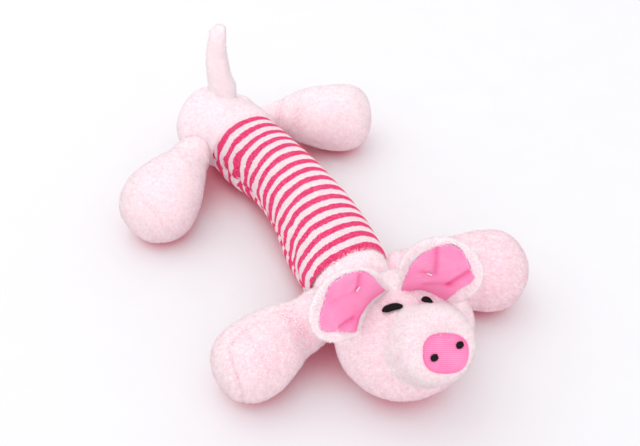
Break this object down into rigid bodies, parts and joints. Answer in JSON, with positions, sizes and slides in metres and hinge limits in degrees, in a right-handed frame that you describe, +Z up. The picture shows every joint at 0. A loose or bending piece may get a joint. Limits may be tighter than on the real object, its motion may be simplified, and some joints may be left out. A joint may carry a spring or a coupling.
{
  "type": "squeaky dog toy",
  "caption": "Stuffed plush pig lying flat: a bent knit tube of a body in stripes, plush head, splayed club legs and upright tail, with a squeaker inside for a dog to bite.",
  "frame": {"origin": "on the table under the middle of the toy's box", "axes": "+Z up, -Y the way that the head points, +X the pig's own left side"},
  "size_m": [0.1852, 0.2748, 0.0985],
  "materials": {
    "plush": "short pile",
    "striped_knit": "ribbed knit, raspberry stripes on near white",
    "pink_knit": "fine knit",
    "black_thread": "satin stitch",
    "white_thread": "sewing thread",
    "filling": "polyester fibre",
    "squeaker_plastic": "soft moulded",
    "reed_plastic": "thin strip"
  },
  "bodies": {
    "torso": {"torso_sleeve": "striped_knit", "chest_cover": "plush", "rump_cover": "plush", "body_filling": "filling", "squeaker_bellows": "squeaker_plastic"},
    "neck": {"neck_thread": "white_thread"},
    "head": {"head_cover": "plush", "muzzle_cover": "plush", "head_filling": "filling", "nose_disc": "pink_knit", "left_nostril": "black_thread", "right_nostril": "black_thread", "left_eye": "black_thread", "right_eye": "black_thread"},
    "left_ear": {"left_ear_back": "plush", "left_ear_lining": "pink_knit", "left_ear_tack": "white_thread"},
    "right_ear": {"right_ear_back": "plush", "right_ear_lining": "pink_knit", "right_ear_tack": "white_thread"},
    "front_left_leg": {"front_left_leg_top_panel": "plush", "front_left_leg_under_panel": "plush", "front_left_leg_filling": "filling"},
    "front_right_leg": {"front_right_leg_top_panel": "plush", "front_right_leg_under_panel": "plush", "front_right_leg_filling": "filling"},
    "rear_left_leg": {"rear_left_leg_top_panel": "plush", "rear_left_leg_under_panel": "plush", "rear_left_leg_filling": "filling"},
    "rear_right_leg": {"rear_right_leg_top_panel": "plush", "rear_right_leg_under_panel": "plush", "rear_right_leg_filling": "filling"},
    "tail": {"tail_cover": "plush", "tail_filling": "filling"},
    "squeaker_top": {"reed_holder": "squeaker_plastic", "reed_strip": "reed_plastic", "reed_cap": "squeaker_plastic"}
  },
  "joints": [
    {"name": "head_turn", "type": "hinge", "parent": "torso", "child": "neck", "pos_m": [-0.00476, -0.05969, 0.026], "axis": [0, 0, 1], "range_deg": [-11, 8], "stiffness_Nm_per_rad": 0.06},
    {"name": "head_nod", "type": "hinge", "parent": "neck", "child": "head", "pos_m": [-0.00476, -0.05969, 0.026], "axis": [0.9877, -0.1564, 0], "range_deg": [-12, 15], "stiffness_Nm_per_rad": 0.06},
    {"name": "left_ear_fold", "type": "hinge", "parent": "head", "child": "left_ear", "pos_m": [0.00823, -0.09447, 0.06679], "axis": [0.6902, -0.6711, -0.2705], "range_deg": [-25, 22], "stiffness_Nm_per_rad": 0.01},
    {"name": "right_ear_fold", "type": "hinge", "parent": "head", "child": "right_ear", "pos_m": [-0.02447, -0.08601, 0.06128], "axis": [0.7768, 0.287, 0.5605], "range_deg": [-25, 22], "stiffness_Nm_per_rad": 0.01},
    {"name": "front_left_leg_flap", "type": "hinge", "parent": "torso", "child": "front_left_leg", "pos_m": [0.02556, -0.05269, 0.0219], "axis": [-0.5, -0.866, 0], "range_deg": [-35, 27], "stiffness_Nm_per_rad": 0.03},
    {"name": "front_right_leg_flap", "type": "hinge", "parent": "torso", "child": "front_right_leg", "pos_m": [-0.02513, -0.04977, 0.0219], "axis": [-0.2079, 0.9781, 0], "range_deg": [-35, 27], "stiffness_Nm_per_rad": 0.03},
    {"name": "rear_left_leg_flap", "type": "hinge", "parent": "torso", "child": "rear_left_leg", "pos_m": [0.0324, 0.1065, 0.0219], "axis": [-0.5878, -0.809, 0], "range_deg": [-35, 35], "stiffness_Nm_per_rad": 0.03},
    {"name": "rear_right_leg_flap", "type": "hinge", "parent": "torso", "child": "rear_right_leg", "pos_m": [-0.02467, 0.0991, 0.0219], "axis": [-0.6018, 0.7986, 0], "range_deg": [-35, 35], "stiffness_Nm_per_rad": 0.03},
    {"name": "tail_wag", "type": "hinge", "parent": "torso", "child": "tail", "pos_m": [0.00708, 0.11711, 0.04924], "axis": [0, 1, 0], "range_deg": [-25, 25], "stiffness_Nm_per_rad": 0.01},
    {"name": "squeaker_squeeze", "type": "slide", "parent": "torso", "child": "squeaker_top", "axis": [0, 0, -1], "range_m": [0, 0.008], "stiffness_N_per_m": 150, "deforming": ["squeaker_bellows"]}
  ]
}
